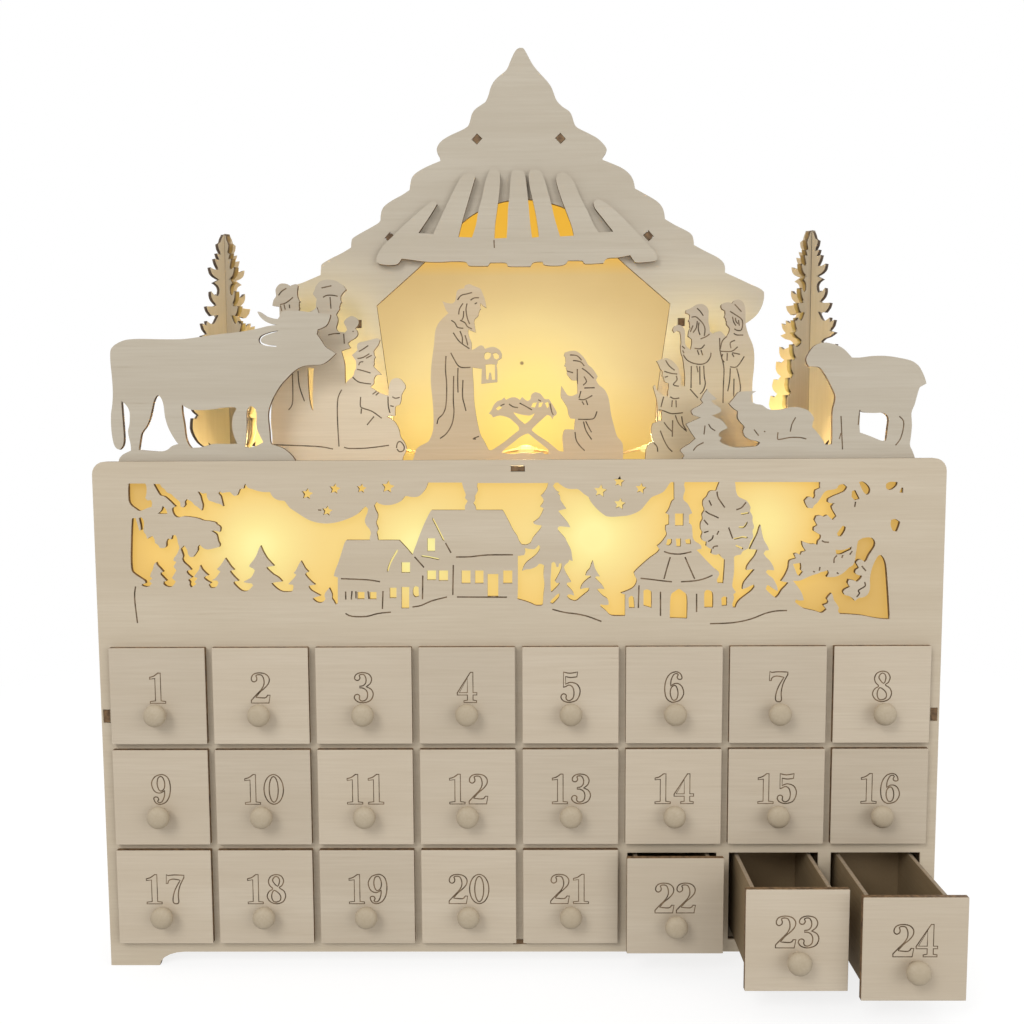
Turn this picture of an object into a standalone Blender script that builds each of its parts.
"""A light-up advent calendar of laser-cut plywood.

A cabinet of 24 small drawers carries a light box behind a village cut in fretwork. A stable with
silhouette figures stands on top. Every sheet is drawn flat in X and Z and is extruded along Y.
"""

import math

import bmesh
import bpy
from mathutils import Matrix, Vector
from mathutils.geometry import delaunay_2d_cdt

for old in list(bpy.data.objects):
    bpy.data.objects.remove(old)

# Sheets and clearances
PLY = 0.003
GAP = 0.0003
OVERRUN = 0.002
MERGE = 0.000001

# Cabinet
PANEL_WIDTH = 0.400
LIGHT_BOX_HEIGHT = 0.085
PANEL_CORNER = 0.006
PANEL_MARGIN = 0.004
CABINET_DEPTH = 0.0756
SIDE_INSET = 0.001
FOOT_WIDTH = 0.0238
FOOT_RISE = 0.0069
FOOT_ARC = 0.0125
DECK_DROP = 0.003
SHELF_TOP_FIRST = 0.013
CORNER_STEPS = 5
EASE_STEPS = 2

# Drawers
COLUMNS = 8
ROWS = 3
ROW_PITCH = 0.0495
WEB = 0.006
RAIL = 0.0058
FRONT_SPACING = 0.0034
ROW_SPACING = 0.0029
FRONT_OVERLAP_BELOW = 0.0003
DRAWER_SIDE_ROOM = 0.0031
DRAWER_HEAD_ROOM = 0.0019
DRAWER_BACK_ROOM = 0.0035
DRAWER_WALL = 0.002
KNOB_DROP = 0.0079
KNOB_RADIUS = 0.0054
KNOB_LENGTH = 0.0085
KNOB_ROOT = 0.0015
KNOB_SIDES = 8
KNOB_PROFILE_SHARES = ((0, .48), (.30, .44), (.45, .90), (.64, 1), (.88, .80), (1, .45))
PULL_SLIGHT = 0.010
PULL_HALF = 0.044
PULL_FAR = 0.052
OPEN_DRAWERS = {22: PULL_SLIGHT, 23: PULL_HALF, 24: PULL_FAR}

# Tabs that show as burnt end grain
TAB = 0.006
DECK_TAB_HEIGHT = 0.0022
SIDE_TAB_Z = 0.1245
TAB_SPACING_SHARE = 0.5

# Village fretwork, drawn in shares of a square drawing sheet
FRET_WIDTH = 0.471
FRET_HEIGHT = 0.471
FRET_X = 0.0005
FRET_RISE = 0.0006
FRET_SIDE_SHARE = 0.391
FRET_MARGIN = 0.0158
STAR_RADIUS = 0.0029
STAR_INNER_SHARE = 0.45
STAR_POINTS = 5
PINE_TIERS = 3
PINE_NOTCH_SHARE = 0.45
PINE_DROOP_SHARE = 0.04

# Light box
DIFFUSER = 0.001
DIFFUSER_MARGIN = 0.0035
STRING_DEPTH = 0.022
STRING_SAG = 0.016
WIRE_RADIUS = 0.0008
LAMP_RADIUS = 0.0023
LAMP_LENGTH = 0.008
LAMP_SHARES = (-0.74, -0.267, 0.26, 0.74)
STRING_REACH = 0.165
WIRE_STEP = 0.006
LAMP_SWELL_SHARES = (-0.49, -0.3, 0, 0.3, 0.49)
LAMP_CLEAR_SHARE = 0.7
WIRE_HOLE = 0.005

# Figures on the deck, drawn in shares of drawing sheets
NEAR_SHEET_WIDTH = 0.473
NEAR_SHEET_HEIGHT = 0.461
MIDDLE_SHEET_WIDTH = 0.484
MIDDLE_SHEET_HEIGHT = 0.473
COW_INSET = 0.0025
SHEEP_INSET = 0.1235
KINGS_X = -0.1230
FAMILY_X = -0.0571
SHEPHERDS_X = 0.0608
MIDDLE_DEPTH = 0.018
PLATE_TAB = 0.010

# Stable
STABLE_X = 0.001
GABLE_DEPTH = 0.033
GABLE_HEIGHT = 0.1992
GABLE_HALF_WIDTH = 0.1188
STABLE_BACK_DEPTH = 0.060
STABLE_WALL_SHARES = (0.669, 0.359)
BACK_WALL_RIM = 0.004
ROOF_BOARD_LOW_SHARES = (0.619, 0.497)
ROOF_BOARD_HIGH_SHARES = (0.072, 0.851)
GABLE_TAB = 0.0034
GABLE_TAB_ENDS_SHARES = (0.16, 0.82)
WALL_TAB_SHARE = 0.344
CANOPY_SHEET_WIDTH = 0.486
CANOPY_SHEET_HEIGHT = 0.475
CANOPY_X = 0.0003
CANOPY_Z = 0.0957

# Trees
TREE_INSET = 0.053
TREE_DEPTH = 0.045
TREE_HEIGHT = 0.114
TREE_HALF_WIDTH = 0.0245
TREE_TIERS = 8
TREE_TIP_LIFT_SHARE = 0.055
TREE_NOTCH_SHARE = 0.62
TREE_TRUNK_SHARE = 0.42
TREE_TAPER = 0.85
TREE_LOWEST_SHARE = 0.97
TREE_TIP_SHARES = (0.9, 0.2)

# Deck lights
DECK_LAMP_SHARES = (-0.914, -0.469, 0.031, 0.5, 0.94)
DECK_STRING_DEPTH = 0.027
DECK_STRING_LIFT = 0.006
DECK_STRING_REACH = 0.128

# Battery box on the back
BOX_WIDTH = 0.072
BOX_DEPTH = 0.020
BOX_HEIGHT = 0.042
BOX_WALL = 0.0016
BOX_Z = 0.200
COVER_WALL = 0.0014
COVER_LIP = 0.004
SWITCH_LENGTH = 0.005
SWITCH_WIDTH = 0.0035
SWITCH_TRAVEL = 0.003
SWITCH_HEAD = 0.002
SWITCH_RIM = 0.001
SWITCH_DEPTH = 0.006

# Worked out from the sizes above
PANEL_HEIGHT = SHELF_TOP_FIRST + ROWS * ROW_PITCH + LIGHT_BOX_HEIGHT
COLUMN_PITCH = (PANEL_WIDTH - 2 * PANEL_MARGIN) / COLUMNS
HOLE_WIDTH = COLUMN_PITCH - WEB
HOLE_HEIGHT = ROW_PITCH - RAIL
FRONT_WIDTH = COLUMN_PITCH - FRONT_SPACING
FRONT_HEIGHT = ROW_PITCH - ROW_SPACING
DRAWER_WIDTH = HOLE_WIDTH - 2 * DRAWER_SIDE_ROOM
DRAWER_HEIGHT = HOLE_HEIGHT - GAP - DRAWER_HEAD_ROOM
BACK_PANEL_Y = CABINET_DEPTH - PLY
INNER_Y = PLY + GAP
INNER_DEPTH = BACK_PANEL_Y - GAP - INNER_Y
DRAWER_LENGTH = BACK_PANEL_Y - DRAWER_BACK_ROOM
SIDE_OUTER_X = PANEL_WIDTH / 2 - SIDE_INSET
SIDE_INNER_X = SIDE_OUTER_X - PLY
DECK_TOP = PANEL_HEIGHT - DECK_DROP
DECK_UNDER = DECK_TOP - PLY
LIGHT_FLOOR_TOP = SHELF_TOP_FIRST + ROWS * ROW_PITCH
FRET_SHEET_WIDTH = min(FRET_WIDTH, (PANEL_WIDTH / 2 - FRET_MARGIN) / FRET_SIDE_SHARE)
STAND_Z = DECK_TOP + GAP
COW_X = COW_INSET - SIDE_OUTER_X
SHEEP_X = SIDE_OUTER_X - SHEEP_INSET
TREE_X = SIDE_OUTER_X - TREE_INSET
STABLE_WALL_X = STABLE_WALL_SHARES[0] * GABLE_HALF_WIDTH
STABLE_WALL_HEIGHT = STABLE_WALL_SHARES[1] * GABLE_HEIGHT
WALL_TAB_Z = WALL_TAB_SHARE * GABLE_HEIGHT
BACK_WALL_HALF_WIDTH = STABLE_WALL_X + PLY / 2 + BACK_WALL_RIM
BOX_FRONT_Y = CABINET_DEPTH + GAP
COVER_Y = BOX_FRONT_Y + BOX_DEPTH + GAP
REAR_Y = COVER_Y + COVER_WALL
FRONTMOST_Y = -(GAP + PLY + KNOB_LENGTH + max(OPEN_DRAWERS.values()))
SHIFT_Y = -(FRONTMOST_Y + REAR_Y) / 2

# Village outlines: x from the middle and z from the foot of the sheet, as shares of its side
SKY_SHARES = (
    (-.391, .157), (.364, .157), (.362, .085), (.366, .080), (.368, .050), (.370, .020),
    (.355, .022), (.338, .0255), (.319, .0275), (.302, .0275), (.286, .032), (.275, .039),
    (.2575, .043), (.232, .0335), (.2145, .033), (.213, .032), (.205, .057), (.197, .058),
    (.106, .024), (.090, .0245), (.074, .028), (.056, .039), (.046, .041), (.030, .0355),
    (.013, .0375), (-.002, .043), (-.100, .040), (-.182, .036), (-.200, .037), (-.236, .048),
    (-.277, .048), (-.307, .052), (-.327, .054), (-.355, .054), (-.366, .054), (-.388, .069),
)
LEFT_CLOUD_SHARES = (
    (-.275, .163), (-.274, .1555), (-.270, .1505), (-.250, .147), (-.247, .1425),
    (-.236, .138), (-.224, .126), (-.2115, .120), (-.194, .1165), (-.180, .118), (-.167, .124),
    (-.153, .1335), (-.145, .1375), (-.133, .135), (-.1205, .137), (-.113, .144),
    (-.100, .144), (-.094, .149), (-.091, .157), (-.091, .163),
)
RIGHT_CLOUD_SHARES = (
    (.033, .163), (.034, .157), (.039, .153), (.049, .1512), (.060, .1505), (.0625, .1465),
    (.069, .141), (.074, .1325), (.082, .1265), (.090, .1238), (.102, .1238), (.1155, .1255),
    (.1235, .1305), (.1315, .144), (.142, .149), (.150, .157), (.150, .163),
)
SMALL_HOUSE_SHARES = (
    (-.184, .030), (-.1815, .062), (-.1835, .064), (-.174, .100), (-.1205, .100),
    (-.1065, .085), (-.094, .072), (-.094, .030),
)
BIG_HOUSE_SHARES = (
    (-.105, .030), (-.105, .084), (-.091, .130), (-.0165, .130), (-.006, .110), (.005, .0915),
    (.0005, .087), (-.0025, .085), (-.0025, .030),
)
SMALL_SMOKE_SHARES = (
    (-.1525, .136), (-.155, .119), (-.1495, .109), (-.1495, .095), (-.1425, .095),
    (-.1425, .109), (-.145, .122), (-.1425, .128), (-.146, .139),
)
BIG_SMOKE_SHARES = (
    (-.058, .163), (-.0575, .156), (-.054, .1405), (-.055, .125), (-.043, .125), (-.0455, .1405),
    (-.042, .1545), (-.041, .163),
)
TALL_PINE_SHARES = (
    (.024, .030), (.025, .0765), (.017, .0765), (.0045, .070), (.0155, .0825), (.0195, .0915),
    (.003, .092), (.013, .0985), (.021, .1145), (.0145, .118), (.023, .132), (.020, .1327),
    (.025, .142), (.0215, .1445), (.0285, .157), (.0285, .163), (.032, .163), (.033, .157),
    (.0415, .144), (.046, .132), (.0405, .1305), (.050, .114), (.039, .1125), (.050, .097),
    (.053, .079), (.0485, .0805), (.0405, .075), (.0315, .0765), (.0300, .030),
)
CHURCH_SHARES = (
    (.1055, .020), (.1055, .045), (.102, .046), (.1155, .054), (.1175, .062), (.115, .068),
    (.1395, .091), (.139, .0945), (.147, .104), (.1465, .114), (.149, .1145), (.149, .1265),
    (.1475, .128), (.1525, .1385), (.155, .140), (.155, .163), (.1645, .163), (.165, .140),
    (.1685, .137), (.171, .128), (.169, .1265), (.1695, .1145), (.173, .114), (.173, .104),
    (.181, .094), (.180, .0905), (.200, .0675), (.197, .0635), (.197, .020),
)
LEAF_TREE_SHARES = (
    (.204, .025), (.205, .081), (.200, .085), (.1925, .0865), (.187, .093), (.188, .0985),
    (.183, .105), (.182, .1105), (.1825, .117), (.181, .125), (.183, .1305), (.183, .137),
    (.1865, .1405), (.1885, .148), (.1965, .1495), (.200, .157), (.200, .163), (.2155, .163),
    (.2155, .157), (.2175, .144), (.228, .141), (.231, .133), (.233, .125), (.234, .117),
    (.234, .110), (.231, .103), (.2245, .099), (.228, .0915), (.224, .0875), (.2145, .0835),
    (.2135, .025),
)
RIGHT_OAK_SHARES = (
    (.300, .163), (.3005, .1525), (.2955, .1505), (.295, .144), (.2865, .143), (.2865, .138),
    (.2885, .1325), (.297, .137), (.3045, .148), (.320, .150), (.3245, .156), (.3285, .1545),
    (.3255, .149), (.3095, .1425), (.316, .137), (.3115, .131), (.317, .123), (.3125, .1205),
    (.306, .125), (.298, .1255), (.2955, .121), (.298, .114), (.2935, .111), (.301, .1065),
    (.301, .100), (.298, .095), (.291, .097), (.283, .0985), (.2845, .089), (.275, .0865),
    (.2755, .082), (.271, .079), (.269, .0715), (.263, .059), (.269, .058), (.2575, .040),
    (.276, .038), (.283, .041), (.273, .0585), (.282, .0645), (.307, .064), (.315, .0635),
    (.3285, .0705), (.3355, .0785), (.3365, .0915), (.3405, .1015), (.3525, .103),
    (.3565, .097), (.350, .085), (.346, .0785), (.3375, .0785), (.3365, .0715), (.3405, .0635),
    (.330, .0595), (.325, .0475), (.3325, .0525), (.3405, .052), (.335, .041), (.344, .050),
    (.350, .0635), (.3555, .081), (.362, .086), (.376, .086), (.376, .163),
)
LEFT_OAK_SHARES = (
    (-.3735, .163), (-.3725, .144), (-.3675, .140), (-.368, .133), (-.379, .1295),
    (-.3855, .1315), (-.390, .138), (-.399, .138), (-.399, .1235), (-.388, .1225),
    (-.3855, .121), (-.383, .112), (-.376, .110), (-.372, .1025), (-.366, .1025),
    (-.364, .095), (-.358, .0925), (-.3535, .095), (-.352, .1025), (-.348, .1025),
    (-.345, .1065), (-.341, .094), (-.332, .094), (-.328, .082), (-.322, .088),
    (-.3205, .095), (-.3105, .091), (-.3005, .093), (-.304, .1065), (-.308, .1095),
    (-.300, .1105), (-.3005, .114), (-.304, .1175), (-.315, .1195), (-.328, .123),
    (-.339, .1225), (-.347, .128), (-.3455, .133), (-.352, .138), (-.359, .1455),
    (-.366, .157), (-.366, .163),
)
OAK_CROWN_SHARES = (
    (-.3615, .163), (-.3615, .156), (-.355, .150), (-.349, .145), (-.342, .141),
    (-.339, .135), (-.334, .1295), (-.3335, .138), (-.328, .138), (-.3265, .133),
    (-.3185, .129), (-.317, .135), (-.322, .148), (-.3135, .1445), (-.3105, .138),
    (-.297, .134), (-.3005, .148), (-.2875, .145), (-.2805, .148), (-.274, .1555),
    (-.274, .163),
)
LEAF_HOLES_SHARES = (
    ((.3315, .1465), (.334, .1505), (.3375, .148), (.340, .141), (.336, .140)),
    ((.3385, .158), (.346, .157), (.3505, .151), (.348, .146), (.3425, .1505)),
    ((.366, .1573), (.378, .158), (.374, .152), (.3695, .1505)),
    ((.3185, .108), (.3225, .114), (.326, .1145), (.3245, .1095), (.3215, .1035), (.3185, .1035)),
    ((.372, .122), (.3755, .122), (.3785, .118), (.3765, .109), (.3735, .109)),
    ((.314, .080), (.3155, .089), (.3225, .0885), (.3285, .091), (.3325, .0935), (.3305, .087),
     (.3225, .0845), (.317, .084)),
    ((.2745, .0765), (.2815, .0765), (.281, .067), (.2795, .0645)),
    ((-.3565, .133), (-.360, .126), (-.353, .126)),
)
PINES_SHARES = (
    (-.3645, .0765, .050, .009), (-.340, .100, .050, .0085), (-.3185, .072, .048, .0095),
    (-.2943, .081, .046, .013), (-.259, .094, .044, .0185), (-.2185, .079, .034, .0145),
    (-.1915, .052, .034, .006), (.0465, .0760, .034, .014), (.0725, .073, .024, .019),
    (.241, .1155, .030, .021), (.313, .046, .024, .007),
)
HOUSE_WINDOWS_SHARES = (
    (-.118, .078, -.1095, .067), (-.130, .0527, -.123, .042), (-.119, .0534, -.111, .032),
    (-.1065, .0545, -.1005, .043), (-.162, .0484, -.1555, .0406), (-.150, .0484, -.143, .0406),
    (-.0925, .102, -.0845, .089), (-.093, .0695, -.0837, .0596), (-.0803, .0695, -.0715, .0596),
    (-.058, .0698, -.0493, .057), (-.0447, .0698, -.0364, .0565), (-.0322, .0668, -.022, .044),
    (-.0162, .0698, -.0076, .057), (.1559, .1265, .164, .1151), (.1472, .0997, .1523, .0944),
    (.1567, .1013, .1621, .0941), (.1661, .1008, .1707, .096), (.1091, .0435, .1144, .0321),
    (.2019, .0437, .2072, .0344),
)
ARCHES_SHARES = ((.1238, .0328, .1318, .050), (.1845, .0328, .1925, .050), (.1503, .022, .1671, .0515))
ARCH_SPRING_SHARE = 0.72
STARS_SHARES = (
    (-.212, .1468), (-.1843, .1511), (-.1924, .1298), (-.1579, .1515), (-.1322, .1523),
    (.0807, .1493), (.1001, .1586), (.1222, .1506), (.1001, .1365),
)

# Figure outlines: x from the plate's left and z from the deck, as shares of the drawing sheets
COW_SHARES = (
    (.013, 0), (.016, .006), (.020, .0095), (.025, .014), (.0306, .0158), (.0283, .037),
    (.0298, .0537), (.0253, .0614), (.0212, .066), (.0200, .066), (.023, .040), (.0237, .029),
    (.0214, .0185), (.0191, .0173), (.0138, .0231), (.0115, .037), (.011, .0476),
    (.0138, .060), (.0138, .0752), (.0107, .1058), (.0104, .112), (.0122, .1188),
    (.0184, .125), (.0291, .128), (.0459, .1284), (.0689, .1275), (.0918, .1295),
    (.1163, .1341), (.1347, .1356), (.153, .1364), (.1653, .1398), (.176, .1417),
    (.1653, .1471), (.1584, .1548), (.1684, .1517), (.180, .1471), (.193, .1494),
    (.205, .1486), (.2112, .1483), (.2174, .1538), (.2296, .1551), (.230, .150),
    (.2265, .1433), (.2174, .138), (.2181, .1303), (.2258, .1211), (.2342, .1131),
    (.2311, .1081), (.2242, .1045), (.2112, .103), (.2005, .100), (.1913, .0943),
    (.1806, .0813), (.1714, .066), (.1676, .0537), (.1684, .040), (.1711, .0231),
    (.1783, .0208), (.1867, .0147), (.1944, .0075), (.198, 0),
)
COW_GAPS_SHARES = (
    ((.0582, .0718), (.0628, .066), (.0651, .0507), (.0704, .0354), (.0778, .0231),
     (.0696, .020), (.0612, .0162), (.0505, .0162), (.0383, .0178), (.0406, .0323),
     (.0475, .0476), (.0528, .0644)),
    ((.0814, .0617), (.0918, .059), (.1041, .0565), (.1163, .058), (.1286, .060),
     (.1316, .0507), (.1324, .0354), (.1347, .0231), (.1194, .0228), (.1071, .0224),
     (.0918, .0193), (.0872, .0246), (.0842, .0354), (.0824, .0491)),
    ((.1508, .0614), (.1554, .0537), (.1561, .0445), (.1592, .0354), (.163, .0239),
     (.1546, .0208), (.1446, .0193), (.1451, .037), (.1454, .0507), (.1473, .059)),
    ((.1776, .1372), (.166, .1335), (.1596, .1297), (.1596, .1262), (.166, .1232),
     (.176, .1216), (.176, .1203), (.164, .1217), (.1577, .1255), (.1577, .1303),
     (.165, .1350)),
)
KINGS_SHARES = (
    (.0075, 0), (.0097, .010), (.0097, .036), (.014, .070), (.020, .100), (.019, .130),
    (.0158, .146), (.0158, .153), (.0164, .158), (.0103, .160), (.0097, .164),
    (.0127, .1688), (.0121, .1736), (.0133, .1797), (.0182, .182), (.0254, .181),
    (.0303, .1803), (.0351, .181), (.0364, .178), (.0352, .170), (.0362, .1665),
    (.0388, .1640), (.0374, .1620), (.0378, .1600), (.0366, .1585), (.041, .1554), (.0448, .1536),
    (.0533, .1573), (.0539, .160), (.0533, .167), (.0509, .170), (.0521, .1724),
    (.0551, .1785), (.0582, .1827), (.0654, .1833), (.0727, .182), (.0775, .1772),
    (.0824, .1787), (.0834, .1748), (.0782, .1714), (.0764, .1692), (.0775, .1660),
    (.0800, .1632), (.0785, .1612), (.0788, .1592), (.0776, .1572), (.0784, .1545), (.0769, .1524),
    (.0739, .1506), (.0763, .1445), (.0745, .1385), (.0775, .133), (.0836, .1336),
    (.0836, .140), (.0824, .144), (.086, .1476), (.0897, .150), (.0939, .1476),
    (.0969, .1427), (.0957, .1373), (.0951, .1312), (.0897, .1258), (.0866, .1203),
    (.0794, .1148), (.0806, .1058), (.083, .096), (.0836, .0815), (.0891, .0876),
    (.0903, .0924), (.0939, .0973), (.0957, .1033), (.0903, .110), (.0957, .1142),
    (.0951, .119), (.1006, .1227), (.109, .1233), (.1145, .1264), (.1169, .1233),
    (.115, .1185), (.1121, .1142), (.1120, .1110), (.1142, .1082), (.1128, .1062), (.1130, .1040),
    (.1145, .0973), (.1194, .0924), (.1163, .090),
    (.1121, .0906), (.1121, .0827), (.1175, .0767), (.126, .0706), (.1266, .078),
    (.1284, .084), (.132, .0876), (.138, .0876), (.1436, .0803), (.1412, .073),
    (.138, .062), (.1327, .058), (.1327, .0494), (.126, .0488), (.1333, .0428),
    (.138, .0318), (.1436, .022), (.1442, .016), (.1406, .005), (.140, 0),
)
FAMILY_SHARES = (
    (.0140, 0), (.0145, .006), (.0168, .0167), (.0253, .022), (.0306, .0282),
    (.0329, .0419), (.0329, .0572), (.031, .088), (.0318, .1093), (.0355, .1368),
    (.0444, .149), (.0467, .152), (.0444, .1583), (.0426, .1632), (.0505, .162),
    (.055, .1644), (.0566, .1736), (.0612, .176), (.0658, .1805), (.072, .181),
    (.0796, .1774), (.0827, .169), (.086, .162), (.0854, .1575), (.0808, .1618),
    (.0800, .1590), (.0815, .1550), (.0798, .1530), (.0800, .1506), (.0780, .1480), (.0775, .142),
    (.0752, .132), (.0696, .1368), (.0673, .1307), (.072, .1185), (.0796, .120),
    (.085, .117), (.0862, .1165), (.0918, .118), (.098, .116), (.1022, .1093),
    (.0995, .1055), (.0973, .104), (.0977, .0817), (.0811, .081), (.0819, .0955),
    (.0822, .0985), (.0735, .097), (.0727, .088), (.0735, .065), (.0773, .0435), (.081, .030),
    (.088, .0152), (.1179, .0366), (.1071, .048), (.101, .0504), (.0918, .0473),
    (.0895, .051), (.094, .0588), (.098, .065), (.104, .065), (.1133, .068),
    (.1225, .0664), (.1293, .064), (.131, .0695), (.1355, .073), (.1416, .071),
    (.144, .0664), (.1508, .0657), (.1546, .0572), (.1554, .051), (.1515, .0465),
    (.147, .0519), (.1378, .045), (.1332, .0366), (.1607, .0144), (.1638, .0136),
    (.163, .030), (.1653, .035), (.1745, .0343), (.1737, .0465), (.169, .0473),
    (.1684, .0572), (.1638, .0603), (.1607, .074), (.1623, .0787), (.1668, .0725),
    (.170, .0695), (.1768, .071), (.1768, .0848), (.1722, .0850), (.1690, .0885), (.1692, .0910),
    (.1672, .0930), (.1680, .0950), (.1655, .0975), (.1665, .1020), (.1638, .1047), (.1645, .1116),
    (.1714, .114), (.179, .1123), (.1852, .1032), (.1913, .0955), (.1975, .0894),
    (.1944, .0825), (.205, .074), (.209, .065), (.2128, .0465), (.2174, .030),
    (.222, .022), (.2232, .0075), (.2232, 0),
)
FAMILY_GAPS_SHARES = (
    ((.114, .0526), (.127, .0496), (.1355, .051), (.127, .0412), (.121, .0458)),
    ((.1263, .0312), (.1465, .0105), (.1055, .0105)),
    ((.0862, .1012), (.0862, .0845), (.0900, .0845), (.0908, .0935), (.0920, .0845),
     (.0962, .0845), (.0962, .1012)),
    ((.0865, .1050), (.0865, .1110), (.0905, .1135), (.0945, .1130), (.0985, .1090), (.0960, .1055)),
)
SHEPHERDS_SHARES = (
    (.0, 0), (.0005, .018), (.004, .0225), (.0066, .027), (.007, .0405), (.012, .0424),
    (.018, .0512), (.0121, .055), (.0143, .0643), (.0115, .0687), (.0088, .0764),
    (.011, .0775), (.0165, .072), (.023, .0687), (.0225, .0808), (.0225, .0850), (.0190, .0862),
    (.0192, .0885), (.0178, .0900), (.0185, .0930), (.0155, .0965), (.0115, .1027), (.0165, .1038),
    (.022, .1058), (.0285, .1043), (.034, .0983), (.034, .0917), (.0373, .083),
    (.0378, .0786), (.0404, .0797), (.0395, .1027), (.0373, .1082), (.0362, .1148),
    (.0373, .1192), (.0362, .128), (.0346, .1318), (.0307, .1318), (.0285, .1356),
    (.0307, .1384), (.0356, .1384), (.039, .1323), (.0395, .1192), (.041, .117),
    (.046, .1137), (.0472, .1214), (.0483, .1268), (.044, .127), (.0444, .1345), (.0455, .1375),
    (.0432, .1410), (.0446, .1455), (.041, .1532), (.0472, .156), (.0526, .1597),
    (.058, .1597), (.063, .156), (.0636, .1488), (.0636, .140), (.0647, .1345),
    (.0702, .130), (.0724, .1214), (.0740, .1150), (.0757, .1246), (.0757, .1312),
    (.0823, .1356), (.0815, .1400), (.0822, .1425), (.0800, .1445), (.0812, .1500),
    (.0768, .1575), (.079, .1614), (.0856, .1625), (.092, .1647), (.0976, .162),
    (.1004, .1543), (.103, .1444), (.0993, .140), (.102, .1345), (.1075, .1246),
    (.1097, .1104), (.108, .0863), (.1064, .073), (.1097, .053), (.114, .0215), (.115, 0),
)
SHEEP_SHARES = (
    (.0045, 0), (.0045, .0105), (.001, .017), (.0155, .027), (.008, .0405), (.021, .047),
    (.012, .0545), (.021, .0625), (.0195, .070), (.028, .0775), (.0365, .068),
    (.032, .064), (.041, .052), (.032, .049), (.0475, .040), (.0385, .0275),
    (.042, .0225), (.056, .0176), (.073, .0185), (.078, .022), (.0715, .0265), (.0637, .038),
    (.0582, .0543), (.0506, .061), (.0517, .0642), (.0582, .073), (.0637, .0746),
    (.0758, .0735), (.0714, .0686), (.0747, .061), (.0878, .0562), (.106, .0562),
    (.1226, .0546), (.131, .0488), (.1326, .0405), (.136, .034), (.149, .0206),
    (.1542, .0206), (.1533, .0355), (.1558, .0604), (.1558, .0687), (.149, .0853),
    (.1425, .0952), (.131, .0994), (.1268, .1018), (.1276, .1085), (.1343, .1176),
    (.144, .1214), (.1475, .1242), (.151, .121), (.1624, .1168), (.1716, .1076),
    (.1807, .1085), (.1973, .1093), (.2188, .1076), (.232, .1043), (.240, .0952),
    (.246, .082), (.238, .077), (.2354, .0637), (.2304, .052), (.232, .042),
    (.2288, .0206), (.2346, .0077), (.236, 0),
)
SHEEP_GAPS_SHARES = (
    ((.1807, .0534), (.2006, .052), (.2064, .0504), (.209, .0455), (.2056, .0247),
     (.1807, .033), (.179, .042)),
)

# Gable of the stable: half outline from the tip down, as shares of its half width and height
GABLE_SHARES = (
    (.000, 1.0), (.032, .978), (.055, .948), (.121, .913), (.143, .875), (.200, .847),
    (.220, .813), (.285, .789), (.342, .770), (.352, .742), (.342, .729), (.444, .694),
    (.464, .659), (.576, .614), (.588, .583), (.693, .550), (.708, .523), (.824, .483),
    (.834, .454), (.985, .420), (1.0, .400), (.998, .379), (.956, .346), (.905, .330),
    (.757, .328), (.757, .0),
)
GABLE_OPENING_SHARES = (
    (.030, .634), (.110, .628), (.183, .608), (.242, .583), (.400, .490), (.609, .387),
    (.505, .0),
)
CANOPY_SHARES = (
    (-.1375, .003), (-.118, .0018), (-.1165, .008), (-.0925, .005), (-.066, .0040),
    (-.051, .0035), (-.0465, .0008), (-.0295, .0008), (-.0265, .0041), (-.012, .0038),
    (-.0055, 0), (.0135, 0), (.0155, .0041), (.025, .0036), (.026, .0012), (.0415, .0006),
    (.051, .0054), (.065, .005), (.067, .0018), (.0845, .0016), (.090, .007),
    (.112, .0112), (.119, .0045), (.138, .007), (.138, .0118), (.117, .0355), (.0855, .0652),
    (.080, .0662), (.0765, .0635), (.0950, .0345), (.0790, .0337), (.052, .0873), (.0475, .0925),
    (.0395, .0920), (.038, .0873), (.056, .0318), (.043, .0309), (.0260, .092), (.0210, .0965),
    (.0150, .0960), (.012, .092), (.021, .030), (.0142, .0293), (.0068, .092), (.003, .0962),
    (-.004, .0955), (-.0065, .091), (-.0115, .029), (-.023, .029), (-.0170, .092),
    (-.0210, .0967), (-.0275, .0962), (-.030, .092), (-.0445, .0295), (-.0587, .030),
    (-.0432, .0855), (-.0440, .0915), (-.0505, .0928), (-.0545, .090), (-.082, .0318),
    (-.098, .0324), (-.0808, .0612), (-.0845, .0655), (-.0925, .0635), (-.1375, .0098),
)


def material(name, colour, roughness, metallic=0.0):
    made = bpy.data.materials.new(name)
    made.use_nodes = True
    shader = made.node_tree.nodes["Principled BSDF"]
    shader.inputs["Base Color"].default_value = (*colour, 1.0)
    shader.inputs["Roughness"].default_value = roughness
    shader.inputs["Metallic"].default_value = metallic
    return made


PLYWOOD = material("plywood", (0.62, 0.53, 0.42), 0.7)
FILM = material("diffuser film", (0.95, 0.78, 0.42), 0.5)
LIGHTS = material("light string", (0.85, 0.70, 0.35), 0.35)
PLASTIC = material("battery box", (0.82, 0.82, 0.80), 0.45)

calendar = bpy.data.objects.new("calendar", None)
bpy.context.collection.objects.link(calendar)
calendar.location = (0, SHIFT_Y, 0)


def add_object(name, mesh, look, location, turn=(0, 0, 0)):
    """An object of the calendar. Its place counts from the front face of the front panel."""
    obj = bpy.data.objects.new(name, mesh)
    bpy.context.collection.objects.link(obj)
    obj.parent = calendar
    obj.location = location
    obj.rotation_euler = turn
    if not mesh.materials:
        mesh.materials.append(look)
    return obj


def drawn(shares, width, height=None, left=0, bottom=0):
    """Shares of a drawing sheet as points in metres."""
    height = width if height is None else height
    return [(left + x * width, bottom + z * height) for x, z in shares]


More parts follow.
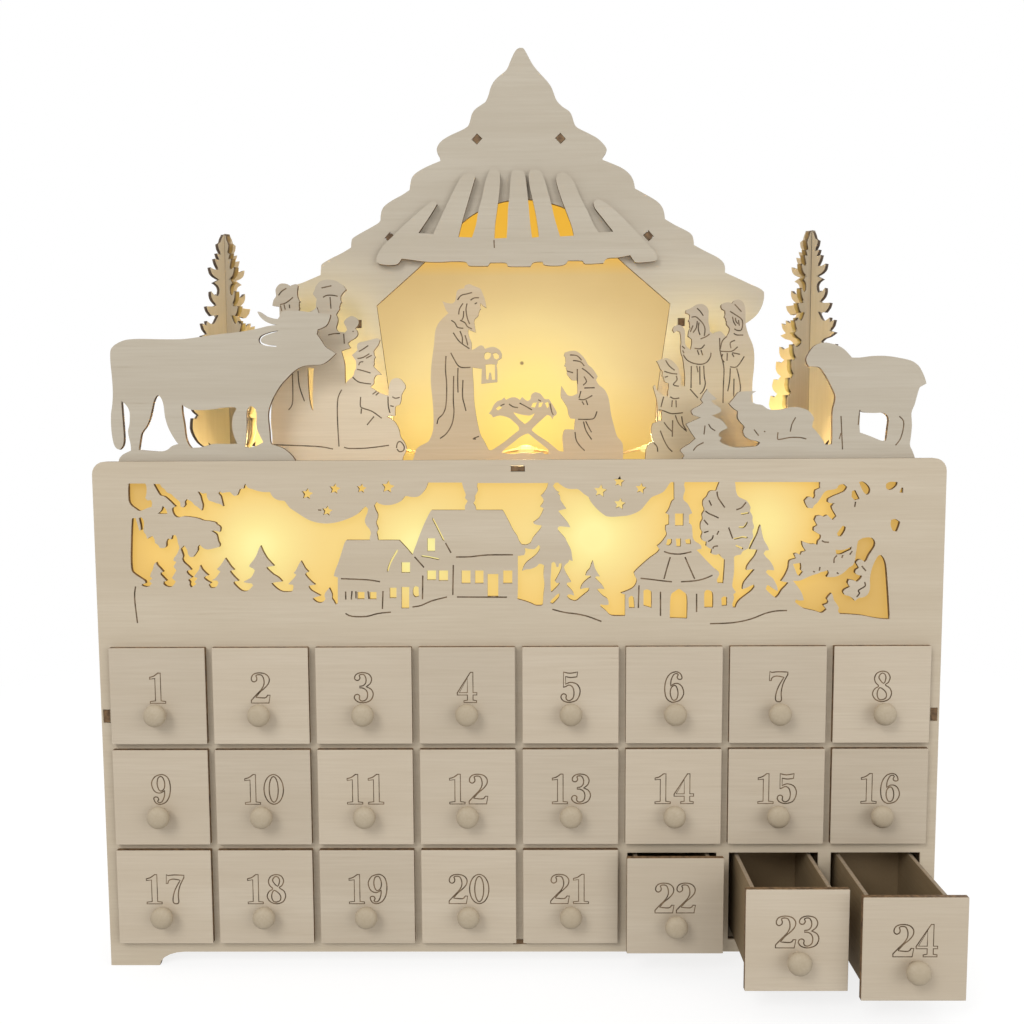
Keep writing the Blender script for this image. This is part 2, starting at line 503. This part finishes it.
def rectangle(left, bottom, right, top):
    return [(left, bottom), (right, bottom), (right, top), (left, top)]


def signed_area(points):
    ring = list(zip(points, points[1:] + points[:1]))
    return sum(a[0] * b[1] - b[0] * a[1] for a, b in ring) / 2


def anticlockwise(points):
    return points if signed_area(points) > 0 else points[::-1]


def eased(points, closed=True):
    """A Catmull-Rom curve through the points."""
    points = points if closed else [points[0], *points, points[-1]]
    count = len(points)
    ring = []
    for i in range(count) if closed else range(1, count - 2):
        a, b, c, d = (Vector(points[(i + k) % count]) for k in (-1, 0, 1, 2))
        for step in range(EASE_STEPS):
            t = step / EASE_STEPS
            ring.append(
                tuple(
                    0.5 * (2 * b + (c - a) * t + (2 * a - 5 * b + 4 * c - d) * t**2
                           + (3 * b - a - 3 * c + d) * t**3)
                )
            )
    return ring if closed else [*ring, points[-1]]


def cut_sheet(layers):
    """Triangles of a flat sheet. Each layer is (is wood, outline), and a later layer wins."""
    points, rings = [], []
    for _, outline in layers:
        rings.append(list(range(len(points), len(points) + len(outline))))
        points += [Vector(point) for point in anticlockwise(outline)]
    corners, _, faces, _, _, sources = delaunay_2d_cdt(points, [], rings, 1, MERGE, True)
    wood = [face for face, found in zip(faces, sources) if found and layers[max(found)][0]]
    return corners, wood


def sheet_mesh(name, layers, thickness):
    """A laser-cut sheet: drawn in X and Z, its thickness along +Y."""
    corners, faces = cut_sheet(layers)
    bm = bmesh.new()
    used = sorted({i for face in faces for i in face})
    verts = {i: bm.verts.new((corners[i].x, 0, corners[i].y)) for i in used}
    for face in faces:
        bm.faces.new([verts[i] for i in face])
    grown = bmesh.ops.extrude_face_region(bm, geom=bm.faces[:])["geom"]
    moved = [item for item in grown if isinstance(item, bmesh.types.BMVert)]
    bmesh.ops.translate(bm, verts=moved, vec=(0, thickness, 0))
    bmesh.ops.recalc_face_normals(bm, faces=bm.faces[:])
    mesh = bpy.data.meshes.new(name)
    bm.to_mesh(mesh)
    bm.free()
    return mesh


def add_sheet(name, layers, location, look=PLYWOOD, thickness=PLY, turn=(0, 0, 0)):
    return add_object(name, sheet_mesh(name, layers, thickness), look, location, turn)


LYING = (-math.pi / 2, 0, 0)
EDGEWISE = (0, 0, math.pi / 2)


def block_mesh(name, low, high):
    bm = bmesh.new()
    bmesh.ops.create_cube(bm, size=1)
    size = Vector(high) - Vector(low)
    bmesh.ops.scale(bm, verts=bm.verts[:], vec=size)
    bmesh.ops.translate(bm, verts=bm.verts[:], vec=(Vector(high) + Vector(low)) / 2)
    mesh = bpy.data.meshes.new(name)
    bm.to_mesh(mesh)
    bm.free()
    return mesh


def combined(name, mesh, changes):
    """One mesh from a base and (operation, mesh) changes, made by Boolean modifiers."""
    base = bpy.data.objects.new(name, mesh)
    helpers = []
    for operation, other in changes:
        helper = bpy.data.objects.new(name, other)
        bpy.context.collection.objects.link(helper)
        helper.hide_render = True
        helper.display_type = "WIRE"
        helpers.append(helper)
        step = base.modifiers.new(operation, "BOOLEAN")
        step.operation = operation
        step.object = helper
    bpy.context.collection.objects.link(base)
    graph = bpy.context.evaluated_depsgraph_get()
    made = bpy.data.meshes.new_from_object(base.evaluated_get(graph), depsgraph=graph)
    made.name = name
    for helper in [base, *helpers]:
        bpy.data.objects.remove(helper)
    made.materials.clear()
    return made


def corner_arc(centre, radius, start, end):
    """Points of an arc, its angles in quarter turns."""
    angles = [
        (start + (end - start) * k / CORNER_STEPS) * math.pi / 2 for k in range(CORNER_STEPS + 1)
    ]
    return [(centre[0] + radius * math.cos(a), centre[1] + radius * math.sin(a)) for a in angles]


def panel_outline():
    """The front panel: rounded top corners, and a foot at each end beside a low arch."""
    half = PANEL_WIDTH / 2
    foot = half - FOOT_WIDTH
    flat = foot - FOOT_ARC
    right = corner_arc((half - PANEL_CORNER, PANEL_HEIGHT - PANEL_CORNER), PANEL_CORNER, 0, 1)
    arch = [
        (flat + FOOT_ARC * math.sin(k / CORNER_STEPS * math.pi / 2),
         FOOT_RISE * math.cos(k / CORNER_STEPS * math.pi / 2))
        for k in range(CORNER_STEPS + 1)
    ]
    side = arch + [(half, 0)] + right
    return side + [(-x, z) for x, z in reversed(side)]


def column_x(column):
    return (column - (COLUMNS - 1) / 2) * COLUMN_PITCH


def shelf_top(row):
    """Top of the shelf under a row, counted from the lowest."""
    return SHELF_TOP_FIRST + row * ROW_PITCH


def drawer_place(number):
    """Centre of a closed drawer's front in X and Z."""
    row, column = divmod(number - 1, COLUMNS)
    bottom = shelf_top(ROWS - 1 - row) - FRONT_OVERLAP_BELOW
    return column_x(column), bottom + FRONT_HEIGHT / 2


def drawer_holes():
    holes = []
    for row in range(ROWS):
        for column in range(COLUMNS):
            x, z = column_x(column), shelf_top(row)
            holes.append(rectangle(x - HOLE_WIDTH / 2, z, x + HOLE_WIDTH / 2, z + HOLE_HEIGHT))
    return holes


def pine_outline(x, tip, foot, half_width):
    """A small pine with drooping tiers, widest at its foot."""
    right = [(x, tip)]
    for tier in range(PINE_TIERS):
        share = (tier + 1) / PINE_TIERS
        low = tip + (foot - tip) * share
        right.append((x + half_width * share, low))
        if share < 1:
            droop = (tip - foot) * PINE_DROOP_SHARE
            right.append((x + half_width * share * PINE_NOTCH_SHARE, low + droop))
    return right + [(2 * x - px, pz) for px, pz in reversed(right[1:])]


def star_outline(x, z):
    points = []
    for k in range(2 * STAR_POINTS):
        radius = STAR_RADIUS * (STAR_INNER_SHARE if k % 2 else 1)
        angle = math.pi / 2 + math.pi * k / STAR_POINTS
        points.append((x + radius * math.cos(angle), z + radius * math.sin(angle)))
    return points


def arch_outline(left, bottom, right, top):
    middle, spring = (left + right) / 2, bottom + (top - bottom) * ARCH_SPRING_SHARE
    return [(left, bottom), (right, bottom), (right, spring), (middle, top), (left, spring)]


def fret(shares):
    return drawn(shares, FRET_SHEET_WIDTH, FRET_HEIGHT, FRET_X, LIGHT_FLOOR_TOP + FRET_RISE)


def village_layers():
    """The lit window: the sky is cut out, the scene is left standing, then its lights are cut."""
    layers = [(False, fret(SKY_SHARES))]
    for shares in (LEFT_CLOUD_SHARES, RIGHT_CLOUD_SHARES):
        layers.append((True, fret(shares)))
    for shares in (SMALL_SMOKE_SHARES, BIG_SMOKE_SHARES, SMALL_HOUSE_SHARES, BIG_HOUSE_SHARES,
                   TALL_PINE_SHARES, CHURCH_SHARES, LEAF_TREE_SHARES, LEFT_OAK_SHARES,
                   OAK_CROWN_SHARES, RIGHT_OAK_SHARES):
        layers.append((True, fret(shares)))
    for x, tip, foot, half in PINES_SHARES:
        layers.append((True, fret(pine_outline(x, tip, foot, half))))
    for left, top, right, bottom in HOUSE_WINDOWS_SHARES:
        layers.append((False, fret(rectangle(left, bottom, right, top))))
    for arch in ARCHES_SHARES:
        layers.append((False, fret(arch_outline(*arch))))
    for leaf in LEAF_HOLES_SHARES:
        layers.append((False, fret(leaf)))
    for x, z in fret(STARS_SHARES):
        layers.append((False, star_outline(x, z)))
    return layers


def slot_around(left, bottom, right, top):
    return (False, rectangle(left - GAP, bottom - GAP, right + GAP, top + GAP))


def add_front_panel():
    layers = [(True, panel_outline())]
    layers += [(False, hole) for hole in drawer_holes()]
    layers += village_layers()
    for top in (DECK_TOP, SHELF_TOP_FIRST):
        layers.append(slot_around(-TAB / 2, top - DECK_TAB_HEIGHT, TAB / 2, top))
    for side in (-1, 1):
        left, right = sorted((side * SIDE_INNER_X, side * SIDE_OUTER_X))
        layers.append(slot_around(left, SIDE_TAB_Z - TAB / 2, right, SIDE_TAB_Z + TAB / 2))
    add_sheet("front_panel", layers, (0, 0, 0))


def add_side(name, side):
    """A side panel, drawn in Y and Z, with a tab into the front panel and slots for the shelves."""
    outline = rectangle(INNER_Y, 0, BACK_PANEL_Y - GAP, DECK_UNDER - GAP)
    tab = rectangle(0, SIDE_TAB_Z - TAB / 2, INNER_Y + OVERRUN, SIDE_TAB_Z + TAB / 2)
    x = SIDE_OUTER_X if side > 0 else -SIDE_INNER_X
    add_sheet(name, [(True, outline), (True, tab)], (x, 0, 0), turn=EDGEWISE)


def shelf_layers(notches):
    """A shelf, drawn in X and Y. Its notches take the dividers, from the front to half depth."""
    half = SIDE_INNER_X - GAP
    layers = [(True, rectangle(-half, INNER_Y, half, INNER_Y + INNER_DEPTH))]
    if notches:
        middle = INNER_Y + INNER_DEPTH / 2 + GAP / 2
        for k in range(1, COLUMNS):
            x = column_x(k) - COLUMN_PITCH / 2
            reach = PLY / 2 + GAP
            layers.append((False, rectangle(x - reach, INNER_Y - OVERRUN, x + reach, middle)))
    return layers


def front_tab(top):
    return (True, rectangle(-TAB / 2, 0, TAB / 2, INNER_Y + OVERRUN))


def add_shelves():
    for name, row in (("lower_shelf", 1), ("upper_shelf", 2)):
        add_sheet(name, shelf_layers(True), (0, 0, shelf_top(row)), turn=LYING)
    add_sheet("light_box_floor", shelf_layers(False), (0, 0, shelf_top(ROWS)), turn=LYING)
    body = shelf_layers(False)
    add_tabbed_board("bottom_board", body, SHELF_TOP_FIRST)


def add_tabbed_board(name, layers, top):
    """A lying board whose thinner front tab passes through the front panel."""
    board = sheet_mesh(name, layers, PLY)
    tab = block_mesh(name, (-TAB / 2, 0, 0), (TAB / 2, DECK_TAB_HEIGHT, INNER_Y + OVERRUN))
    made = combined(name, board, [("UNION", tab)])
    return add_object(name, made, PLYWOOD, (0, 0, top), LYING)


def add_dividers():
    """Upright dividers, drawn in Y and Z, with notches from the back for the two shelves."""
    low = SHELF_TOP_FIRST + GAP
    high = shelf_top(ROWS) - PLY - GAP
    middle = INNER_Y + INNER_DEPTH / 2 - GAP / 2
    for k in range(1, COLUMNS):
        layers = [(True, rectangle(INNER_Y, low, INNER_Y + INNER_DEPTH, high))]
        for row in range(1, ROWS):
            top = shelf_top(row)
            notch = rectangle(middle, top - PLY - GAP, BACK_PANEL_Y, top + GAP)
            layers.append((False, notch))
        x = column_x(k) - COLUMN_PITCH / 2 + PLY / 2
        add_sheet(f"divider_{k}", layers, (x, 0, 0), turn=EDGEWISE)


def add_back_panel():
    half = SIDE_OUTER_X
    outline = rectangle(-half, 0, half, DECK_UNDER - GAP)
    hole = rectangle(-WIRE_HOLE / 2, BOX_Z - WIRE_HOLE / 2, WIRE_HOLE / 2, BOX_Z + WIRE_HOLE / 2)
    add_sheet("back_panel", [(True, outline), (False, hole)], (0, BACK_PANEL_Y, 0))


def plate_tabs(left, right):
    """X ranges of the two tabs under a plate."""
    middle, reach = (left + right) / 2, (right - left) * TAB_SPACING_SHARE / 2
    return [(x - PLATE_TAB / 2, x + PLATE_TAB / 2) for x in (middle - reach, middle + reach)]


FIGURES = {
    "cow_plate": (COW_SHARES, COW_GAPS_SHARES, COW_X, NEAR_SHEET_WIDTH, NEAR_SHEET_HEIGHT, INNER_Y),
    "sheep_plate": (SHEEP_SHARES, SHEEP_GAPS_SHARES, SHEEP_X, NEAR_SHEET_WIDTH, NEAR_SHEET_HEIGHT,
                    INNER_Y),
    "kings_plate": (KINGS_SHARES, (), KINGS_X, MIDDLE_SHEET_WIDTH, MIDDLE_SHEET_HEIGHT,
                    MIDDLE_DEPTH),
    "family_plate": (FAMILY_SHARES, FAMILY_GAPS_SHARES, FAMILY_X, MIDDLE_SHEET_WIDTH,
                     MIDDLE_SHEET_HEIGHT, MIDDLE_DEPTH),
    "shepherds_plate": (SHEPHERDS_SHARES, (), SHEPHERDS_X, MIDDLE_SHEET_WIDTH,
                        MIDDLE_SHEET_HEIGHT, MIDDLE_DEPTH),
}


def figure_span(name):
    shares, _, left, width, _, _ = FIGURES[name]
    base = [x for x, z in shares if z == 0]
    return left + min(base) * width, left + max(base) * width


def stable_spans():
    """X ranges of the feet of the gable and of the stable's back wall, with their depths."""
    foot_in = GABLE_OPENING_SHARES[-1][0] * GABLE_HALF_WIDTH
    foot_out = GABLE_SHARES[-1][0] * GABLE_HALF_WIDTH
    middle = (foot_in + foot_out) / 2
    feet = [STABLE_X + side * middle for side in (-1, 1)]
    return [(x - PLATE_TAB / 2, x + PLATE_TAB / 2) for x in feet]


def add_deck():
    """The deck, drawn in X and Y, with slots for the tabs of all that stands on it."""
    layers = [(True, rectangle(-SIDE_OUTER_X, INNER_Y, SIDE_OUTER_X, CABINET_DEPTH))]
    for name, row in FIGURES.items():
        depth = row[-1]
        for left, right in plate_tabs(*figure_span(name)):
            low = depth if depth > INNER_Y else depth + PLY / 2
            layers.append(slot_around(left, low, right, depth + PLY))
    for depth in (GABLE_DEPTH, STABLE_BACK_DEPTH):
        for left, right in stable_spans():
            layers.append(slot_around(left, depth, right, depth + PLY))
    add_tabbed_board("deck", layers, DECK_TOP)


def add_figures():
    for name, (shares, gaps, left, width, height, depth) in FIGURES.items():
        outline = eased(drawn(shares, width, height, left), closed=False)
        layers = [(True, outline)]
        for gap in gaps:
            layers.append((False, eased(drawn(gap, width, height, left))))
        add_sheet(name, layers, (0, depth, STAND_Z))


def gable_outline():
    half = drawn(GABLE_SHARES, GABLE_HALF_WIDTH, GABLE_HEIGHT)
    return half + [(-x, z) for x, z in reversed(half[1:])]


def gable_opening():
    half = drawn(GABLE_OPENING_SHARES, GABLE_HALF_WIDTH, GABLE_HEIGHT)
    foot_x, _ = half[-1]
    half[-1] = (foot_x, -OVERRUN)
    return half + [(-x, z) for x, z in reversed(half)]


def roof_board_line(side):
    """The foot and the ridge end of a roof board, seen from the front."""
    ends = drawn((ROOF_BOARD_LOW_SHARES, ROOF_BOARD_HIGH_SHARES), GABLE_HALF_WIDTH, GABLE_HEIGHT)
    return [Vector((side * x, z)) for x, z in ends]


def strip(low, high, share, half_length, half_thickness):
    """A rectangle on a sloping line, its middle at a share of the line's length."""
    along = (high - low).normalized()
    across = Vector((-along.y, along.x))
    middle = low.lerp(high, share)
    corners = ((-1, -1), (1, -1), (1, 1), (-1, 1))
    return [
        tuple(middle + along * half_length * a + across * half_thickness * b) for a, b in corners
    ]


def roof_tilt(side):
    """Angle between a roof board and the upright, leaning towards the ridge."""
    low, high = roof_board_line(side)
    return math.atan2((high - low).x, (high - low).y)


def roof_tab_strips(side):
    """Holes for the two tabs of a roof board, seen from the front."""
    low, high = roof_board_line(side)
    for share in GABLE_TAB_ENDS_SHARES:
        yield strip(low, high, share, GABLE_TAB / 2 + GAP, PLY / 2 + GAP)


def wall_tab_hole(side):
    x = side * STABLE_WALL_X
    reach, height = PLY / 2 + GAP, GABLE_TAB / 2 + GAP
    return rectangle(x - reach, WALL_TAB_Z - height, x + reach, WALL_TAB_Z + height)


def add_gable():
    layers = [(True, gable_outline()), (False, gable_opening())]
    for side in (-1, 1):
        layers += [(False, hole) for hole in roof_tab_strips(side)]
        layers.append((False, wall_tab_hole(side)))
    add_sheet("stable_gable", layers, (STABLE_X, GABLE_DEPTH, STAND_Z))


def add_stable_board(name, foot, height, tilt, tab_heights):
    """A board from the gable to the back wall, drawn in depth and height, with front tabs."""
    start = PLY + GAP
    end = STABLE_BACK_DEPTH - GAP - GABLE_DEPTH
    layers = [(True, rectangle(start, 0, end, height))]
    for z in tab_heights:
        tab = rectangle(0, z - GABLE_TAB / 2, start + OVERRUN, z + GABLE_TAB / 2)
        layers.append((True, tab))
    mesh = sheet_mesh(name, layers, PLY)
    mesh.transform(Matrix.Translation((0, -PLY / 2, 0)))
    x, z = foot
    place = (STABLE_X + x, GABLE_DEPTH, STAND_Z + z)
    add_object(name, mesh, PLYWOOD, place, (tilt, 0, EDGEWISE[2]))


def add_stable_boards():
    for name, side in (("left", -1), ("right", 1)):
        foot = (side * STABLE_WALL_X, 0)
        add_stable_board(f"stable_wall_{name}", foot, STABLE_WALL_HEIGHT, 0, [WALL_TAB_Z])
        low, high = roof_board_line(side)
        length = (high - low).length
        tabs = [length * share for share in GABLE_TAB_ENDS_SHARES]
        add_stable_board(f"roof_board_{name}", low, length, roof_tilt(side), tabs)


def add_stable_back():
    """The back wall follows the outer side of the walls and roof boards with a small rim."""
    low, high = roof_board_line(1)
    slope = (high - low).normalized()
    out = Vector((slope.y, -slope.x)) * (PLY / 2 + BACK_WALL_RIM)
    ridge = high + out
    top = ridge.y + slope.y * ridge.x / -slope.x
    eave = low + out
    eave_z = eave.y + slope.y * (BACK_WALL_HALF_WIDTH - eave.x) / slope.x
    half = [(0, top), (BACK_WALL_HALF_WIDTH, eave_z), (BACK_WALL_HALF_WIDTH, 0)]
    outline = half + [(-x, z) for x, z in reversed(half[1:])]
    add_sheet("stable_back", [(True, outline)], (STABLE_X, STABLE_BACK_DEPTH, STAND_Z))


def add_canopy():
    outline = drawn(CANOPY_SHARES, CANOPY_SHEET_WIDTH, CANOPY_SHEET_HEIGHT, CANOPY_X)
    place = (0, GABLE_DEPTH - PLY - GAP, STAND_Z + CANOPY_Z)
    add_sheet("canopy", [(True, outline)], place)


def tree_outline():
    """Half of a spruce plate has tiers with lifted tips over deep notches."""
    right = [(0, TREE_HEIGHT)]
    for tier in range(TREE_TIERS):
        share = (tier + 1) / TREE_TIERS
        reach = TREE_HALF_WIDTH * share**TREE_TAPER
        low = TREE_HEIGHT * (1 - share * TREE_LOWEST_SHARE)
        lift = TREE_HEIGHT * TREE_TIP_LIFT_SHARE
        width, height = TREE_TIP_SHARES
        right.append((reach, low + lift))
        right.append((reach * width, low + lift * height))
        right.append((reach * TREE_NOTCH_SHARE, low))
    right.append((TREE_HALF_WIDTH * TREE_TRUNK_SHARE, 0))
    return right + [(-x, z) for x, z in reversed(right[1:])]


def add_tree(name, x):
    """Two plates crossed at right angles, each turned half a quarter from the front."""
    plates = []
    for quarter in (1, -1):
        plate = sheet_mesh(name, [(True, tree_outline())], PLY)
        plate.transform(Matrix.Translation((0, -PLY / 2, 0)))
        plate.transform(Matrix.Rotation(quarter * math.pi / 4, 4, "Z"))
        plates.append(plate)
    made = combined(name, plates[0], [("UNION", plates[1])])
    add_object(name, made, PLYWOOD, (x, TREE_DEPTH, STAND_Z))


def knob_mesh():
    """A turned knob along -Y: its profile spun round, from the root in the front to its crown."""
    profile = [(width * KNOB_RADIUS, -along * KNOB_LENGTH) for along, width in KNOB_PROFILE_SHARES]
    neck, _ = profile[0]
    profile[0] = (neck, KNOB_ROOT)
    bm = bmesh.new()
    rings = [bm.verts.new((r, y, 0)) for r, y in profile]
    edges = [bm.edges.new(pair) for pair in zip(rings, rings[1:])]
    bmesh.ops.spin(bm, geom=rings + edges, cent=(0, 0, 0), axis=(0, 1, 0),
                   angle=2 * math.pi, steps=KNOB_SIDES, use_merge=True)
    bmesh.ops.remove_doubles(bm, verts=bm.verts[:], dist=MERGE)
    ends = [edge for edge in bm.edges if edge.is_boundary]
    for ring_y in {round(edge.verts[0].co.y, 6) for edge in ends}:
        ring = [edge for edge in ends if round(edge.verts[0].co.y, 6) == ring_y]
        bmesh.ops.contextual_create(bm, geom=ring)
    bmesh.ops.recalc_face_normals(bm, faces=bm.faces[:])
    mesh = bpy.data.meshes.new("knob")
    bm.to_mesh(mesh)
    bm.free()
    return mesh


def drawer_mesh():
    """A drawer about the middle of its front's rear face: front, open box and knob in one."""
    half_width, half_height = FRONT_WIDTH / 2, FRONT_HEIGHT / 2
    front = block_mesh("front", (-half_width, -PLY, -half_height), (half_width, 0, half_height))
    low = -half_height + FRONT_OVERLAP_BELOW + GAP
    box = block_mesh("box", (-DRAWER_WIDTH / 2, -PLY / 2, low),
                     (DRAWER_WIDTH / 2, DRAWER_LENGTH, low + DRAWER_HEIGHT))
    inner = DRAWER_WIDTH / 2 - DRAWER_WALL
    hollow = block_mesh("hollow", (-inner, 0, low + DRAWER_WALL),
                        (inner, DRAWER_LENGTH - DRAWER_WALL, half_height + OVERRUN))
    knob = knob_mesh()
    knob.transform(Matrix.Translation((0, -PLY, -KNOB_DROP)))
    return combined("drawer", front, [("UNION", box), ("DIFFERENCE", hollow), ("UNION", knob)])


def add_drawers():
    mesh = drawer_mesh()
    for number in range(1, COLUMNS * ROWS + 1):
        x, z = drawer_place(number)
        pulled = OPEN_DRAWERS.get(number, 0)
        add_object(f"drawer_{number:02d}", mesh, PLYWOOD, (x, -GAP - pulled, z))


def add_diffuser():
    half = SIDE_INNER_X - DIFFUSER_MARGIN
    low = LIGHT_FLOOR_TOP + GAP
    outline = rectangle(-half, low, half, DECK_UNDER - DIFFUSER_MARGIN)
    add_sheet("light_diffuser", [(True, outline)], (0, INNER_Y, 0), FILM, DIFFUSER)


def add_wire(name, points):
    """A lead with lamps on it: each point is (x, y, z, radius as a multiple of the wire's)."""
    curve = bpy.data.curves.new(name, "CURVE")
    curve.dimensions = "3D"
    curve.bevel_depth = WIRE_RADIUS
    curve.bevel_resolution = 1
    curve.use_fill_caps = True
    line = curve.splines.new("POLY")
    line.points.add(len(points) - 1)
    for point, (x, y, z, radius) in zip(line.points, points):
        point.co = (x, y, z, 1)
        point.radius = radius
    add_object(name, curve, LIGHTS, (0, 0, 0))


def lamp_swell(distance):
    """How much wider than the wire the string is at a distance from a lamp's middle."""
    share = abs(distance) / (LAMP_LENGTH / 2)
    return 1 + (LAMP_RADIUS / WIRE_RADIUS - 1) * math.sqrt(max(0, 1 - share**2))


def string_xs(lamps, reach):
    """Places along a string: even steps, with closer ones at each lamp."""
    steps = int(2 * reach / WIRE_STEP)
    xs = {-reach + 2 * reach * k / steps for k in range(steps + 1)}
    near = [lamp + LAMP_LENGTH * share for lamp in lamps for share in LAMP_SWELL_SHARES]
    clear = {x for x in xs if min(abs(x - lamp) for lamp in lamps) > LAMP_LENGTH * LAMP_CLEAR_SHARE}
    return sorted(clear | set(near))


def sag_at(x, lamps, reach):
    """0 where the string is stapled, midway between lamps, and 1 at each lamp."""
    knots = sorted(lamps)
    ends = [-reach] + [(a + b) / 2 for a, b in zip(knots, knots[1:])] + [reach]
    for low, high in zip(ends, ends[1:]):
        if low <= x <= high:
            lamp = next(k for k in knots if low <= k <= high)
            side = (x - low) / (lamp - low) if x < lamp else (high - x) / (high - lamp)
            return math.sin(side * math.pi / 2) ** 2
    return 0


def nearest_swell(x, lamps):
    return max(lamp_swell(x - lamp) for lamp in lamps)


def add_light_strings():
    lamps = [STRING_REACH * share for share in LAMP_SHARES]
    high = DECK_UNDER - GAP - WIRE_RADIUS
    points = [
        (x, STRING_DEPTH, high - STRING_SAG * sag_at(x, lamps, STRING_REACH),
         nearest_swell(x, lamps))
        for x in string_xs(lamps, STRING_REACH)
    ]
    add_wire("village_lights", points)
    lamps = [DECK_STRING_REACH * share for share in DECK_LAMP_SHARES]
    low = STAND_Z + WIRE_RADIUS
    points = [
        (x, DECK_STRING_DEPTH, low + DECK_STRING_LIFT * sag_at(x, lamps, DECK_STRING_REACH),
         nearest_swell(x, lamps))
        for x in string_xs(lamps, DECK_STRING_REACH)
    ]
    add_wire("deck_lights", points)


def add_battery_box():
    half_x, half_z = BOX_WIDTH / 2, BOX_HEIGHT / 2
    shell = block_mesh("box", (-half_x, 0, -half_z), (half_x, BOX_DEPTH, half_z))
    hollow = block_mesh("hollow", (-half_x + BOX_WALL, BOX_WALL, -half_z + BOX_WALL),
                        (half_x - BOX_WALL, BOX_DEPTH + OVERRUN, half_z - BOX_WALL))
    slot_x = (SWITCH_LENGTH + SWITCH_TRAVEL) / 2 + GAP
    slot_y = SWITCH_WIDTH / 2 + GAP
    slot = block_mesh("slot", (-slot_x, SWITCH_DEPTH - slot_y, half_z - BOX_WALL - OVERRUN),
                      (slot_x, SWITCH_DEPTH + slot_y, half_z + OVERRUN))
    made = combined("battery_box", shell, [("DIFFERENCE", hollow), ("DIFFERENCE", slot)])
    add_object("battery_box", made, PLASTIC, (0, BOX_FRONT_Y, BOX_Z))


def add_battery_cover():
    """A channel that slides sideways off the box, its lips over the top and bottom edges."""
    half_x = BOX_WIDTH / 2
    inner = BOX_HEIGHT / 2 + GAP
    outer = inner + COVER_WALL
    body = block_mesh("cover", (-half_x, -COVER_LIP, -outer), (half_x, COVER_WALL, outer))
    groove = block_mesh("groove", (-half_x - OVERRUN, -COVER_LIP - OVERRUN, -inner),
                        (half_x + OVERRUN, 0, inner))
    made = combined("battery_cover", body, [("DIFFERENCE", groove)])
    add_object("battery_cover", made, PLASTIC, (0, COVER_Y, BOX_Z))


def add_switch():
    """A small slider at the off end of its slot."""
    half_x, half_y = SWITCH_LENGTH / 2, SWITCH_WIDTH / 2
    stem = block_mesh("stem", (-half_x, -half_y, -BOX_WALL), (half_x, half_y, GAP + SWITCH_HEAD))
    rim_x, rim_y = half_x + SWITCH_RIM, half_y + SWITCH_RIM
    head = block_mesh("head", (-rim_x, -rim_y, GAP), (rim_x, rim_y, GAP + SWITCH_HEAD / 2))
    made = combined("switch_slider", stem, [("UNION", head)])
    place = (-SWITCH_TRAVEL / 2, BOX_FRONT_Y + SWITCH_DEPTH, BOX_Z + BOX_HEIGHT / 2)
    add_object("switch_slider", made, PLASTIC, place)


add_front_panel()
add_side("side_panel_left", -1)
add_side("side_panel_right", 1)
add_shelves()
add_dividers()
add_back_panel()
add_deck()
add_figures()
add_gable()
add_stable_boards()
add_stable_back()
add_canopy()
add_tree("tree_left", -TREE_X)
add_tree("tree_right", TREE_X)
add_drawers()
add_diffuser()
add_light_strings()
add_battery_box()
add_battery_cover()
add_switch()
